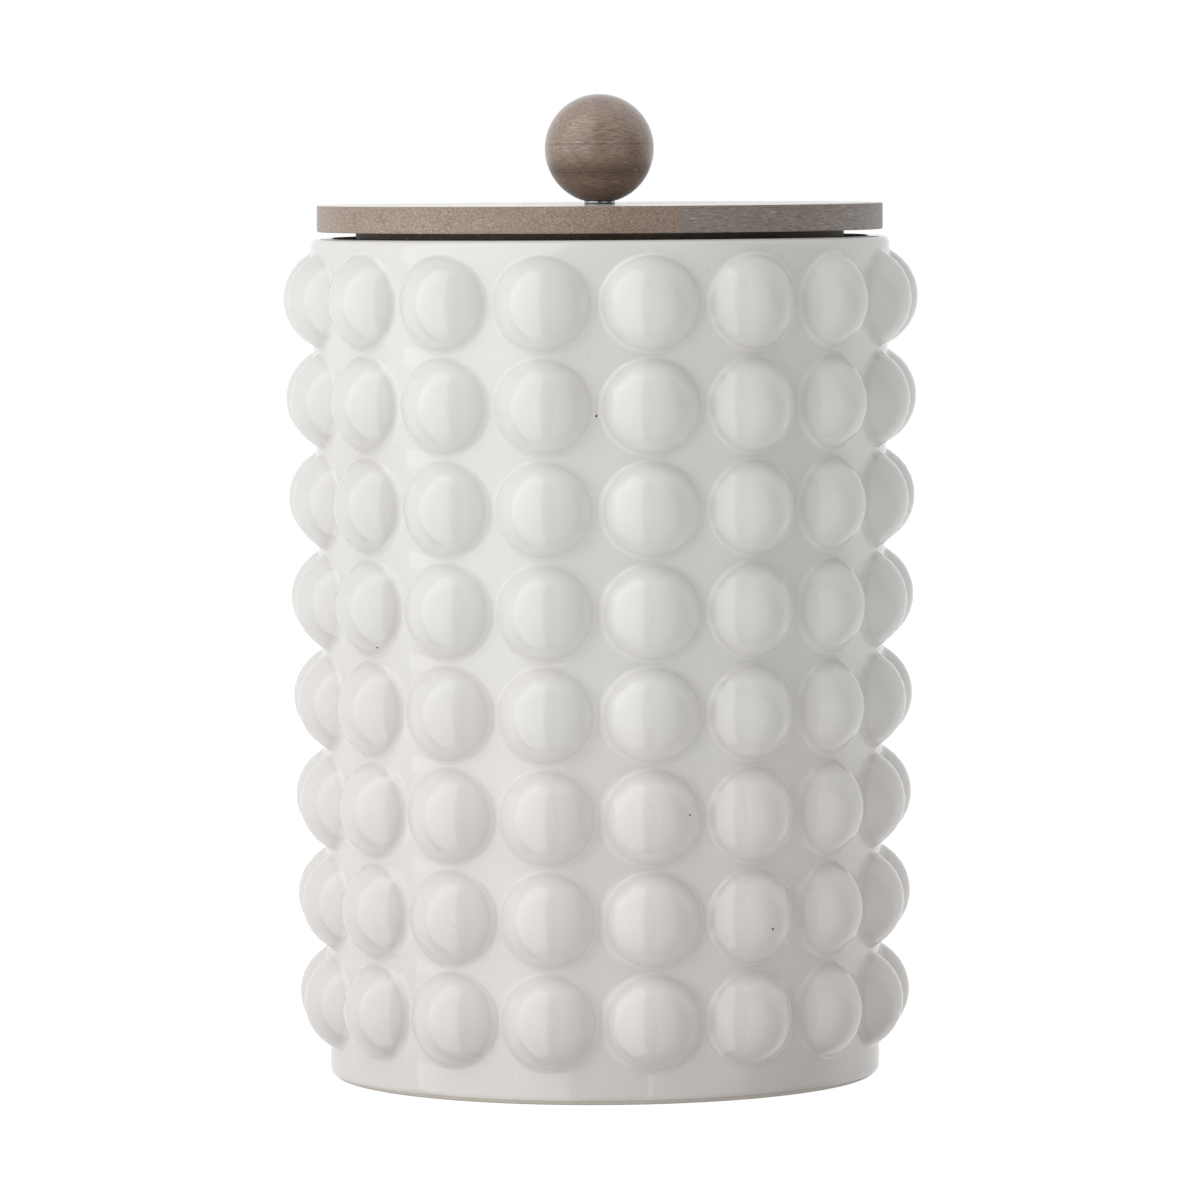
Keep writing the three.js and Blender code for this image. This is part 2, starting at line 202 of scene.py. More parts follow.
pale_floor = bpy.data.materials.new("pale_matt_sheet")
pale_floor.use_nodes = True
tree = pale_floor.node_tree
tree.nodes.clear()
ray = add_node(tree, "ShaderNodeLightPath")
place = add_node(tree, "ShaderNodeTexCoord")
away = add_node(tree, "ShaderNodeVectorMath", {0: place.outputs["Object"]}, operation="LENGTH")
lift = add_node(
    tree,
    "ShaderNodeMapRange",
    {
        "Value": away.outputs["Value"],
        "From Min": SHADOW_START * MM,
        "From Max": SHADOW_REACH * MM,
        "To Min": FLOOR_LIFT,
        "To Max": 1.0,
    },
)
upward = add_node(
    tree,
    "ShaderNodeMapRange",
    {
        "Value": away.outputs["Value"],
        "From Min": SHADOW_START * MM,
        "From Max": SHADOW_REACH * MM,
        "To Min": NEAR_GLOW,
        "To Max": FLOOR_GLOW,
    },
)
glow = add_node(
    tree,
    "ShaderNodeMapRange",
    {
        "Value": ray.outputs["Is Camera Ray"],
        "To Min": upward.outputs["Result"],
        "To Max": lift.outputs["Result"],
    },
)
sheet = add_node(tree, "ShaderNodeBsdfDiffuse", {"Color": (FLOOR_GREY, FLOOR_GREY, FLOOR_GREY, 1)})
white = add_node(tree, "ShaderNodeEmission", {"Strength": glow.outputs["Result"]})
both = add_node(tree, "ShaderNodeAddShader", {0: sheet.outputs[0], 1: white.outputs[0]})
add_node(tree, "ShaderNodeOutputMaterial", {"Surface": both.outputs[0]})
mesh.materials.append(pale_floor)

# Jar body: stoneware cast in a mould in one piece, with eight rows of round bosses, a plain rim
# and a foot ring. It is glazed all over inside and out and fired standing on its bare foot ring.
JAR_HEIGHT = 235.9
FOOT_RADIUS = 77.5
RIM_FLARE = 3.8  # how much wider the rim is than the foot, in radius
FLARE_EVENNESS = 0.7  # share of the flare that is straight; the rest opens towards the rim
WALL_THICKNESS = 6.5
INNER_FLOOR = 11
FLOOR_CORNER_ROUND = 8
FOOT_ROUND = 2.8
FOOT_INNER_ROUND = 0.5
FOOT_LAND = 4.9  # width of the flat that it stands on
FOOT_RECESS = 3
FOOT_RECESS_SLOPE = 2
GLAZE_STOP = 1.1  # height at which the glaze was wiped off
GLAZE_THICKNESS = 0.25
RIM_OUTER_ROUND = 2.2
RIM_INNER_ROUND = 2.5
BOSS_RADIUS = 14.5
BOSS_HEIGHT = 8.8
BOSS_FILLET = 2
ROWS = 8
ROW_PITCH = 28
LOWEST_ROW = 22.8
COLUMNS = 17
COLUMN_ANGLE = 2 * math.pi / COLUMNS
FIRST_COLUMN = math.pi / 2  # at the back
TILE_STEPS = 12  # along each side of the patch of wall round one boss
TILE_MARGIN = 0.012  # least gap from ring to ring, as a share of the way to the tile's side
BLEND_RINGS = (14.2, 13.85, 13.5, 13.15, 12.8, 12.45, 12.1)  # radii of the rings in the fillet
CAP_RINGS = (10.6, 8.3, 5.6, 2.8)
ROUND_STEPS = 6
SIDE_RINGS = 8  # between the foot's rounding and the lowest tiles
INNER_RINGS = 10  # down the inside of the wall
WELD_GAP = 0.001
SHARP_ANGLE = math.radians(40)


def wall_radius(z):
    """The outside of the wall between the bosses."""
    rise = z / JAR_HEIGHT
    return FOOT_RADIUS + RIM_FLARE * (FLARE_EVENNESS * rise + (1 - FLARE_EVENNESS) * rise**2)


def surface_radius(angle, z):
    """The outside of the jar: the wall and the bosses near each point, blended together."""
    nearest_column = np.round(angle / COLUMN_ANGLE)
    nearest_row = np.round((z - LOWEST_ROW) / ROW_PITCH)
    radius = wall_radius(z) + 0 * angle
    for row in (nearest_row - 1, nearest_row, nearest_row + 1):
        row_height = LOWEST_ROW + row * ROW_PITCH
        centre = wall_radius(row_height) + BOSS_HEIGHT - BOSS_RADIUS
        for column in (-1, 0, 1):
            turn = angle - (nearest_column + column) * COLUMN_ANGLE
            reach = BOSS_RADIUS**2 - (centre * np.sin(turn)) ** 2 - (z - row_height) ** 2
            within = (reach > 0) & (row >= 0) & (row < ROWS)
            boss = np.where(within, centre * np.cos(turn) + np.sqrt(np.maximum(reach, 0)), 0)
            overlap = np.maximum(BOSS_FILLET - np.abs(radius - boss), 0) / BOSS_FILLET
            radius = np.maximum(radius, boss) + overlap**2 * BOSS_FILLET / 4
    return radius


def object_from(name, vertices, faces):
    """A smooth-shaded object from points in millimetres, with points that coincide made one."""
    mesh = bpy.data.meshes.new(name)
    mesh.from_pydata((np.asarray(vertices, float) * MM).tolist(), [], faces)
    welded = bmesh.new()
    welded.from_mesh(mesh)
    bmesh.ops.remove_doubles(welded, verts=welded.verts[:], dist=WELD_GAP * MM)
    bmesh.ops.recalc_face_normals(welded, faces=welded.faces[:])
    welded.to_mesh(mesh)
    welded.free()
    mesh.polygons.foreach_set("use_smooth", [True] * len(mesh.polygons))
    mesh.set_sharp_from_angle(angle=SHARP_ANGLE)
    piece = bpy.data.objects.new(name, mesh)
    bpy.context.scene.collection.objects.link(piece)
    return piece


def placed(radius, angle, z):
    """Points on or in the jar, one to a row, from arrays of radius, angle and height."""
    radius, angle, z = np.broadcast_arrays(radius, angle, z)
    x = radius * np.cos(angle + FIRST_COLUMN)
    y = radius * np.sin(angle + FIRST_COLUMN)
    return np.stack([x, y, z], axis=-1).reshape(-1, 3).tolist()


def join_rings(faces, first, rings, size):
    """Quads between rings of vertices that follow each other, each of the given size."""
    for ring in range(rings - 1):
        low, high = first + ring * size, first + (ring + 1) * size
        for i in range(size):
            j = (i + 1) % size
            faces.append((low + i, low + j, high + j, high + i))


def close_ring(faces, first, size, middle):
    """Triangles from a ring of vertices to the one in its middle."""
    for i in range(size):
        faces.append((first + i, first + (i + 1) % size, middle))


def quarter_turns(steps):
    """Angles from nothing to a right angle, for a rounded edge."""
    return [math.pi / 2 * i / steps for i in range(steps + 1)]


def foot_edge_radius(z):
    """The rounded outer edge of the foot ring, with its glaze."""
    return wall_radius(z) - FOOT_ROUND + math.sqrt(FOOT_ROUND**2 - (FOOT_ROUND - z) ** 2)


# One tile's vertices, as angles and heights from its boss's middle: its square side, then rings
turns = (np.arange(4 * TILE_STEPS) / TILE_STEPS - 1.5) * math.pi / 2
to_side = 1 / np.maximum(np.abs(np.cos(turns)), np.abs(np.sin(turns)))
tile = [(COLUMN_ANGLE / 2 * np.cos(turns) * to_side, ROW_PITCH / 2 * np.sin(turns) * to_side)]
for number, ring_radius in enumerate(BLEND_RINGS + CAP_RINGS):
    widest = ROW_PITCH / 2 * to_side * (1 - TILE_MARGIN * (number + 1))
    reach = np.minimum(ring_radius, widest)
    tile.append((np.arctan(reach * np.cos(turns) / FOOT_RADIUS), reach * np.sin(turns)))
halfway = [(tile[0][i] + tile[1][i]) / 2 for i in (0, 1)]
tile.insert(1, halfway)
tile_angles, tile_heights = np.array(tile).transpose(1, 0, 2)

points, faces = [], []
for row in range(ROWS):
    for column in range(COLUMNS):
        first = len(points)
        angle = tile_angles + column * COLUMN_ANGLE
        z = tile_heights + LOWEST_ROW + row * ROW_PITCH
        points += placed(surface_radius(angle, z), angle, z)
        join_rings(faces, first, len(tile), len(turns))
        middle = (np.array(column * COLUMN_ANGLE), np.array(LOWEST_ROW + row * ROW_PITCH))
        points += placed(surface_radius(*middle), *middle)
        close_ring(faces, len(points) - 1 - len(turns), len(turns), len(points) - 1)

# Foot and underside below the tiles; rim, inside and floor above them
eighths = np.linspace(-math.pi / 4, math.pi / 4, TILE_STEPS, endpoint=False)
side_turns = np.tan(eighths) * COLUMN_ANGLE / 2
around = (np.arange(COLUMNS)[:, None] * COLUMN_ANGLE + side_turns).ravel()
foot, rim = [], []
land_inner = FOOT_RADIUS - FOOT_ROUND - FOOT_LAND
glaze_edge = GLAZE_STOP + GLAZE_THICKNESS
bare_edge = foot_edge_radius(GLAZE_STOP) - GLAZE_THICKNESS
for share in (0.3, 0.6, 0.9, 1):
    foot.append(((land_inner - FOOT_RECESS_SLOPE) * share, FOOT_RECESS))
for turn in quarter_turns(ROUND_STEPS):
    z = FOOT_INNER_ROUND * (1 - math.sin(turn))
    foot.append((land_inner - FOOT_INNER_ROUND * math.cos(turn), z))
for step in range(ROUND_STEPS):
    z = GLAZE_STOP * (step / ROUND_STEPS) ** 2
    foot.append((foot_edge_radius(z) - GLAZE_THICKNESS * step / ROUND_STEPS, z))
for turn in quarter_turns(ROUND_STEPS):
    z = glaze_edge - GLAZE_THICKNESS * math.cos(turn)
    foot.append((bare_edge + (foot_edge_radius(glaze_edge) - bare_edge) * math.sin(turn), z))
for z in np.linspace(glaze_edge, FOOT_ROUND, ROUND_STEPS)[1:]:
    foot.append((foot_edge_radius(z), z))
lowest_side = LOWEST_ROW - ROW_PITCH / 2
for z in np.linspace(FOOT_ROUND, lowest_side, SIDE_RINGS)[1:]:
    foot.append((surface_radius(around, z), z))

highest_side = LOWEST_ROW + (ROWS - 0.5) * ROW_PITCH
rim.append((surface_radius(around, highest_side), highest_side))
for turn in quarter_turns(ROUND_STEPS):
    z = JAR_HEIGHT - RIM_OUTER_ROUND * (1 - math.sin(turn))
    rim.append((surface_radius(around, z) - RIM_OUTER_ROUND * (1 - math.cos(turn)), z))
mouth_round = JAR_HEIGHT - RIM_INNER_ROUND
for turn in reversed(quarter_turns(ROUND_STEPS)):
    z = mouth_round + RIM_INNER_ROUND * math.sin(turn)
    rim.append((wall_radius(z) - WALL_THICKNESS + RIM_INNER_ROUND * (1 - math.cos(turn)), z))
corner_top = INNER_FLOOR + FLOOR_CORNER_ROUND
for z in np.linspace(mouth_round, corner_top, INNER_RINGS)[1:-1]:
    rim.append((wall_radius(z) - WALL_THICKNESS, z))
corner = wall_radius(corner_top) - WALL_THICKNESS - FLOOR_CORNER_ROUND
for turn in quarter_turns(2 * ROUND_STEPS):
    z = corner_top - FLOOR_CORNER_ROUND * math.sin(turn)
    rim.append((corner + FLOOR_CORNER_ROUND * math.cos(turn), z))
for share in (0.8, 0.5, 0.25):
    rim.append((corner * share, INNER_FLOOR))

for rings, middle_ring, middle_height in (
    (foot, 0, FOOT_RECESS),
    (rim, len(rim) - 1, INNER_FLOOR),
):
    first = len(points)
    for radius, z in rings:
        points += placed(radius, around, z)
    join_rings(faces, first, len(rings), len(around))
    points.append((0, 0, middle_height))
    close_ring(faces, first + middle_ring * len(around), len(around), len(points) - 1)
jar = object_from("jar", points, faces)

# Painted reflection and shade round each boss: a grey line at its edge, where the steep fillet
# mirrors dark and falls into shade, and a white ring in the crease, where it mirrors the light.
# The edge's line is kept as -1 and the crease as 1.
EDGE_RING = 12.6  # distances from the boss's middle
CREASE_RING = 13.5
RING_HALF_WIDTH = 0.6
vertices = np.empty(3 * len(jar.data.vertices))
jar.data.vertices.foreach_get("co", vertices)
x, y, z = vertices.reshape(-1, 3).T / MM
angle = np.arctan2(y, x) - FIRST_COLUMN
side = (angle - np.round(angle / COLUMN_ANGLE) * COLUMN_ANGLE) * FOOT_RADIUS
row = np.clip(np.round((z - LOWEST_ROW) / ROW_PITCH), 0, ROWS - 1)
away = np.hypot(side, z - LOWEST_ROW - row * ROW_PITCH)
edge, crease = (
    np.maximum(1 - np.abs(away - ring) / RING_HALF_WIDTH, 0) for ring in (EDGE_RING, CREASE_RING)
)
outside = np.hypot(x, y) > wall_radius(z) - 1
painted_fillet_lines = np.where(outside, crease - edge, 0)
jar.data.attributes.new("painted_fillet_lines", "FLOAT", "POINT").data.foreach_set("value", painted_fillet_lines)


def linear(colour):
    """An sRGB hex colour as the linear values that a shader takes."""
    channels = [int(colour[i : i + 2], 16) / 255 for i in (1, 3, 5)]
    light = [c / 12.92 if c <= 0.04045 else ((c + 0.055) / 1.055) ** 2.4 for c in channels]
    return (*light, 1)


def per_mm(size):
    """The texture scale at which one feature is this many millimetres across."""
    return 1 / (size * MM)


# White stoneware glaze: fired thick, glassy and slightly wavy, so the eye sees soft mirror images
# of the panels on every boss. It carries a painted grey line at each boss's edge and a painted
# white ring in the crease round it, grows warmer towards the foot, and ends in a faint brown line.
# It has a few iron specks and pinholes.
CLOUD_SIZE = 45
WARM_FROM = 150  # the glaze grows warmer from this height down to the next
WARM_TO = 20
PINHOLE_SPACING = 22
PINHOLE_RADII = (0.264, 0.44)  # of its dark middle and of its soft edge
SPECK_SPACING = 6
SPECK_RADII = (0.12, 0.27)
EDGE_LINE_WIDTH = 0.3
GLOSS_PATCH = 9
WAVE_SIZE = 11
WAVE_HEIGHT = 0.07
PEEL_SIZE = 1.6
PEEL_HEIGHT = 0.004

glaze = bpy.data.materials.new("white_gloss_glaze")
glaze.use_nodes = True
tree = glaze.node_tree
shader = tree.nodes["Principled BSDF"]
place = add_node(tree, "ShaderNodeTexCoord").outputs["Object"]
cloud = add_node(
    tree, "ShaderNodeTexNoise", {"Vector": place, "Scale": per_mm(CLOUD_SIZE), "Detail": 3}
)
tone = add_node(
    tree,
    "ShaderNodeMapRange",
    {"Value": cloud.outputs["Fac"], "From Min": 0.35, "From Max": 0.65},
)
clouded = add_node(
    tree,
    "ShaderNodeMixRGB",
    {"Fac": tone.outputs["Result"], "Color1": linear("#eae9e6"), "Color2": linear("#e6e4e0")},
)
height = add_node(tree, "ShaderNodeSeparateXYZ", {"Vector": place}).outputs["Z"]
# The glaze's colour grows warmer towards the foot.
foot_warmth = add_node(
    tree,
    "ShaderNodeMapRange",
    {"Value": height, "From Min": WARM_FROM * MM, "From Max": WARM_TO * MM, "To Max": 0.9},
)
warmed = add_node(
    tree,
    "ShaderNodeMixRGB",
    {
        "Fac": foot_warmth.outputs["Result"],
        "Color1": clouded.outputs["Color"],
        "Color2": linear("#eae5e1"),
    },
)
# Painted reflection and shade: the crease round each boss is whitened and its edge greyed.
painted_fillet_lines = add_node(tree, "ShaderNodeAttribute", attribute_name="painted_fillet_lines").outputs["Fac"]
painted_crease_light = add_node(tree, "ShaderNodeMapRange", {"Value": painted_fillet_lines, "To Max": 0.32})
whitened = add_node(
    tree,
    "ShaderNodeMixRGB",
    {
        "Fac": painted_crease_light.outputs["Result"],
        "Color1": warmed.outputs["Color"],
        "Color2": linear("#f8f7f5"),
    },
)
painted_edge_shade = add_node(
    tree, "ShaderNodeMapRange", {"Value": painted_fillet_lines, "From Min": 0, "From Max": -1, "To Max": 0.1}
)
glazed_colour = add_node(
    tree,
    "ShaderNodeMixRGB",
    {
        "Fac": painted_edge_shade.outputs["Result"],
        "Color1": whitened.outputs["Color"],
        "Color2": linear("#a89d92"),
    },
).outputs["Color"]
for spacing, (inner_radius, outer_radius), depth, spot_colour in (
    (PINHOLE_SPACING, PINHOLE_RADII, 1, "#5a5048"),
    (SPECK_SPACING, SPECK_RADII, 0.35, "#8c8274"),
):
    cells = add_node(tree, "ShaderNodeTexVoronoi", {"Vector": place, "Scale": per_mm(spacing)})
    spots = add_node(
        tree,
        "ShaderNodeMapRange",
        {
            "Value": cells.outputs["Distance"],
            "From Min": inner_radius / spacing,
            "From Max": outer_radius / spacing,
            "To Min": depth,
            "To Max": 0,
        },
    )
    glazed_colour = add_node(
        tree,
        "ShaderNodeMixRGB",
        {
            "Fac": spots.outputs["Result"],
            "Color1": glazed_colour,
            "Color2": linear(spot_colour),
        },
    ).outputs["Color"]
edge_line = add_node(
    tree,
    "ShaderNodeMapRange",
    {
        "Value": height,
        "From Min": glaze_edge * MM,
        "From Max": (glaze_edge + EDGE_LINE_WIDTH) * MM,
        "To Min": 0.35,
        "To Max": 0,
    },
)
edged = add_node(
    tree,
    "ShaderNodeMixRGB",
    {
        "Fac": edge_line.outputs["Result"],
        "Color1": glazed_colour,
        "Color2": linear("#9c8668"),
    },
)
tree.links.new(edged.outputs["Color"], shader.inputs["Base Color"])
gloss = add_node(
    tree, "ShaderNodeTexNoise", {"Vector": place, "Scale": per_mm(GLOSS_PATCH), "Detail": 2}
)
roughness = add_node(
    tree, "ShaderNodeMapRange", {"Value": gloss.outputs["Fac"], "To Min": 0.04, "To Max": 0.075}
)
tree.links.new(roughness.outputs["Result"], shader.inputs["Roughness"])
shader.inputs["IOR"].default_value = 1.52
wave = add_node(
    tree, "ShaderNodeTexNoise", {"Vector": place, "Scale": per_mm(WAVE_SIZE), "Detail": 1}
)
wavy = add_node(
    tree,
    "ShaderNodeBump",
    {"Height": wave.outputs["Fac"], "Distance": WAVE_HEIGHT * MM, "Strength": 1},
)
peel = add_node(
    tree, "ShaderNodeTexNoise", {"Vector": place, "Scale": per_mm(PEEL_SIZE), "Detail": 2}
)
peeled = add_node(
    tree,
    "ShaderNodeBump",
    {
        "Height": peel.outputs["Fac"],
        "Distance": PEEL_HEIGHT * MM,
        "Strength": 1,
        "Normal": wavy.outputs["Normal"],
    },
)
tree.links.new(peeled.outputs["Normal"], shader.inputs["Normal"])
jar.data.materials.append(glaze)

# Bare stoneware on the foot ring, where the glaze was wiped off: pale cream, matt and gritty, so
# it shows as a thin dull line under the gloss.
GRIT_SIZE = 0.6
GRIT_HEIGHT = 0.05

bare = bpy.data.materials.new("bare_cream_stoneware")
bare.use_nodes = True
tree = bare.node_tree
shader = tree.nodes["Principled BSDF"]
place = add_node(tree, "ShaderNodeTexCoord").outputs["Object"]
grit = add_node(
    tree, "ShaderNodeTexNoise", {"Vector": place, "Scale": per_mm(GRIT_SIZE), "Detail": 4}
)
cream = add_node(
    tree,
    "ShaderNodeMixRGB",
    {"Fac": grit.outputs["Fac"], "Color1": linear("#ddd6c9"), "Color2": linear("#efeae1")},
)
tree.links.new(cream.outputs["Color"], shader.inputs["Base Color"])
shader.inputs["Roughness"].default_value = 0.85
gritty = add_node(
    tree,
    "ShaderNodeBump",
    {"Height": grit.outputs["Fac"], "Distance": GRIT_HEIGHT * MM, "Strength": 1},
)
tree.links.new(gritty.outputs["Normal"], shader.inputs["Normal"])
jar.data.materials.append(bare)
foot_inner = (land_inner - FOOT_INNER_ROUND) * MM
for polygon in jar.data.polygons:
    x, y, z = polygon.center
    if z < GLAZE_STOP * MM and math.hypot(x, y) > foot_inner:
        polygon.material_index = 1

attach(jar, "jar")
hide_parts("jar_body")

# Lid: a round panel of three stained beech boards glued edge to edge, sawn and sanded round,
# lacquered on top and oiled round the edge. The grain runs from front to back, so the front edge
# shows end grain.
LID_SEAT = JAR_HEIGHT + 1.8
LID_RADIUS = 79.4
LID_THICKNESS = 7.4
LID_EDGE_ROUND = 0.5
BOARD_SEAM = 23
TURNED_STEPS = 256


def turned(name, outline, steps=TURNED_STEPS):
    """A turned object from an outline of radius and height, which runs anticlockwise.

    A radius of 0 is its middle.
    """
    turns = np.arange(steps) * 2 * math.pi / steps
    vertices, starts = [], []
    for radius, z in outline:
        starts.append((len(vertices), radius > 0))
        if radius > 0:
            vertices += [(radius * math.cos(t), radius * math.sin(t), z) for t in turns]
        else:
            vertices.append((0, 0, z))
    faces = []
    for (low, low_ring), (high, high_ring) in zip(starts, starts[1:] + starts[:1]):
        for i in range(steps):
            j = (i + 1) % steps
            if low_ring and high_ring:
                faces.append((low + i, low + j, high + j, high + i))
            elif high_ring:
                faces.append((low, high + j, high + i))
            elif low_ring:
                faces.append((low + i, low + j, high))
    return object_from(name, vertices, faces)


def arc(centre_radius, centre_z, radius, start, end, steps=ROUND_STEPS):
    """A rounded part of such an outline, between two directions in degrees."""
    turns = [math.radians(start + (end - start) * i / steps) for i in range(steps + 1)]
    return [(centre_radius + radius * math.cos(t), centre_z + radius * math.sin(t)) for t in turns]


# Beech's vessels are under 0.1 mm wide, too fine to show, so its fibres, pores and pale flecks are
# drawn several times as coarse as they are.
BAND_WIDTH = 8
FLECK_SPACING = 1.5
FIBRE_RELIEF = 0.04
DENT_SIZE = 1.1
DENT_DEPTH = 0.06


def stained_beech(
    name,
    light,
    dark,
    grain_scale,
    roughness,
    coat=0.0,
    coat_roughness=0.06,
    sheen=0.35,
    fibre_size=0.36,
    pore_depth=0.3,
    layers_and_shade=(),
    across="Z",
):
    """Beech under a grey-brown stain, which the eye sees as fine light and dark streaks.

    The grain runs along the axis that has the smallest of the three scales. The darker layers,
    bands of late wood on the ball and painted shade on the lid's boards, lie across an axis:
    middle and half width in millimetres, and depth.
    """
    material = bpy.data.materials.new(name)
    material.use_nodes = True
    tree = material.node_tree
    shader = tree.nodes["Principled BSDF"]
    place = add_node(tree, "ShaderNodeTexCoord").outputs["Object"]
    grain = add_node(tree, "ShaderNodeMapping", {"Vector": place, "Scale": grain_scale}).outputs[0]
    fibre = add_node(
        tree,
        "ShaderNodeTexNoise",
        {"Vector": grain, "Scale": per_mm(fibre_size), "Detail": 4, "Roughness": 0.7},
    )
    fibre_tone = add_node(
        tree,
        "ShaderNodeMapRange",
        {"Value": fibre.outputs["Fac"], "From Min": 0.36, "From Max": 0.64},
    )
    wood = add_node(
        tree,
        "ShaderNodeMixRGB",
        {"Fac": fibre_tone.outputs["Result"], "Color1": linear(dark), "Color2": linear(light)},
    )
    bands = add_node(
        tree,
        "ShaderNodeTexNoise",
        {"Vector": grain, "Scale": per_mm(BAND_WIDTH), "Detail": 2, "Distortion": 0.2},
    )
    band_tone = add_node(
        tree,
        "ShaderNodeMapRange",
        {"Value": bands.outputs["Fac"], "From Min": 0.35, "From Max": 0.65, "To Max": 0.3},
    )
    banded = add_node(
        tree,
        "ShaderNodeMixRGB",
        {
            "Fac": band_tone.outputs["Result"],
            "Color1": wood.outputs["Color"],
            "Color2": linear(dark),
        },
    )
    colour = banded.outputs["Color"]
    if layers_and_shade:
        height = add_node(tree, "ShaderNodeSeparateXYZ", {"Vector": place}).outputs[across]
        for middle, half_width, depth in layers_and_shade:
            off = add_node(
                tree, "ShaderNodeMath", {0: height, 1: middle * MM}, operation="SUBTRACT"
            )
            away = add_node(tree, "ShaderNodeMath", {0: off.outputs[0]}, operation="ABSOLUTE")
            layer = add_node(
                tree,
                "ShaderNodeMapRange",
                {
                    "Value": away.outputs[0],
                    "From Max": half_width * MM,
                    "To Min": depth,
                    "To Max": 0,
                },
                interpolation_type="SMOOTHSTEP",
            )
            colour = add_node(
                tree,
                "ShaderNodeMixRGB",
                {"Fac": layer.outputs["Result"], "Color1": colour, "Color2": linear("#54463c")},
            ).outputs["Color"]
    pore_cells = add_node(
        tree, "ShaderNodeTexVoronoi", {"Vector": grain, "Scale": per_mm(2 * fibre_size)}
    )
    pores = add_node(
        tree,
        "ShaderNodeMapRange",
        {
            "Value": pore_cells.outputs["Distance"],
            "From Min": 0.1,
            "From Max": 0.3,
            "To Min": pore_depth,
            "To Max": 0,
        },
    )
    pored = add_node(
        tree,
        "ShaderNodeMixRGB",
        {"Fac": pores.outputs["Result"], "Color1": colour, "Color2": linear("#4a3d34")},
    )
    fleck_cells = add_node(
        tree, "ShaderNodeTexVoronoi", {"Vector": grain, "Scale": per_mm(FLECK_SPACING)}
    )
    flecks = add_node(
        tree,
        "ShaderNodeMapRange",
        {
            "Value": fleck_cells.outputs["Distance"],
            "From Min": 0.05,
            "From Max": 0.18,
            "To Min": 0.55,
            "To Max": 0,
        },
    )
    flecked = add_node(
        tree,
        "ShaderNodeMixRGB",
        {
            "Fac": flecks.outputs["Result"],
            "Color1": pored.outputs["Color"],
            "Color2": linear("#d2c2b2"),
        },
    )
    tree.links.new(flecked.outputs["Color"], shader.inputs["Base Color"])
    worn = add_node(
        tree,
        "ShaderNodeMapRange",
        {"Value": fibre.outputs["Fac"], "To Min": roughness + 0.1, "To Max": roughness - 0.1},
    )
    tree.links.new(worn.outputs["Result"], shader.inputs["Roughness"])
    shader.inputs["Coat Weight"].default_value = coat
    shader.inputs["Coat Roughness"].default_value = coat_roughness
    shader.inputs["Sheen Weight"].default_value = sheen
    shader.inputs["Sheen Roughness"].default_value = 0.5
    relief = add_node(
        tree,
        "ShaderNodeBump",
        {"Height": fibre.outputs["Fac"], "Distance": FIBRE_RELIEF * MM, "Strength": 1},
    )
    dents = add_node(
        tree, "ShaderNodeTexNoise", {"Vector": place, "Scale": per_mm(DENT_SIZE), "Detail": 1}
    )
    dented = add_node(
        tree,
        "ShaderNodeBump",
        {
            "Height": dents.outputs["Fac"],
            "Distance": DENT_DEPTH * MM,
            "Strength": 1,
            "Normal": relief.outputs["Normal"],
        },
    )
    tree.links.new(dented.outputs["Normal"], shader.inputs["Normal"])
    return material


# The top is lacquered smooth, and mirrors the backdrop at a low angle. The sawn edge is only
# oiled, so it looks dull and shows the end grain.
ALONG_Y = (1, 1 / 14, 1)
# Painted shade: the two warm boards are darkened towards the lid's middle, where less of the light
# from the left falls.
PAINTED_MIDDLE_SHADE = ((12, 62, 0.3),)  # the two light boards darken towards the lid's middle
EDGE_BAND = 2.5  # the flat faces' own ring of vertices beside each rounded edge
WARM_BEECH = ("#bca898", "#816d5e")
GREY_BEECH = ("#a0948b", "#71675f")
boards = [  # piece, its node, its seams, its colours, its end grain's scale and its top's lacquer
    ("board_left", "lid_board_left", None, -BOARD_SEAM, WARM_BEECH, 1 / 1.6, 1),
    ("board_centre", "lid_board_centre", -BOARD_SEAM, BOARD_SEAM, WARM_BEECH, 1 / 1.6, 0.9),
    ("board_right", "lid_board_right", BOARD_SEAM, None, GREY_BEECH, 1 / 5, 0.85),
]

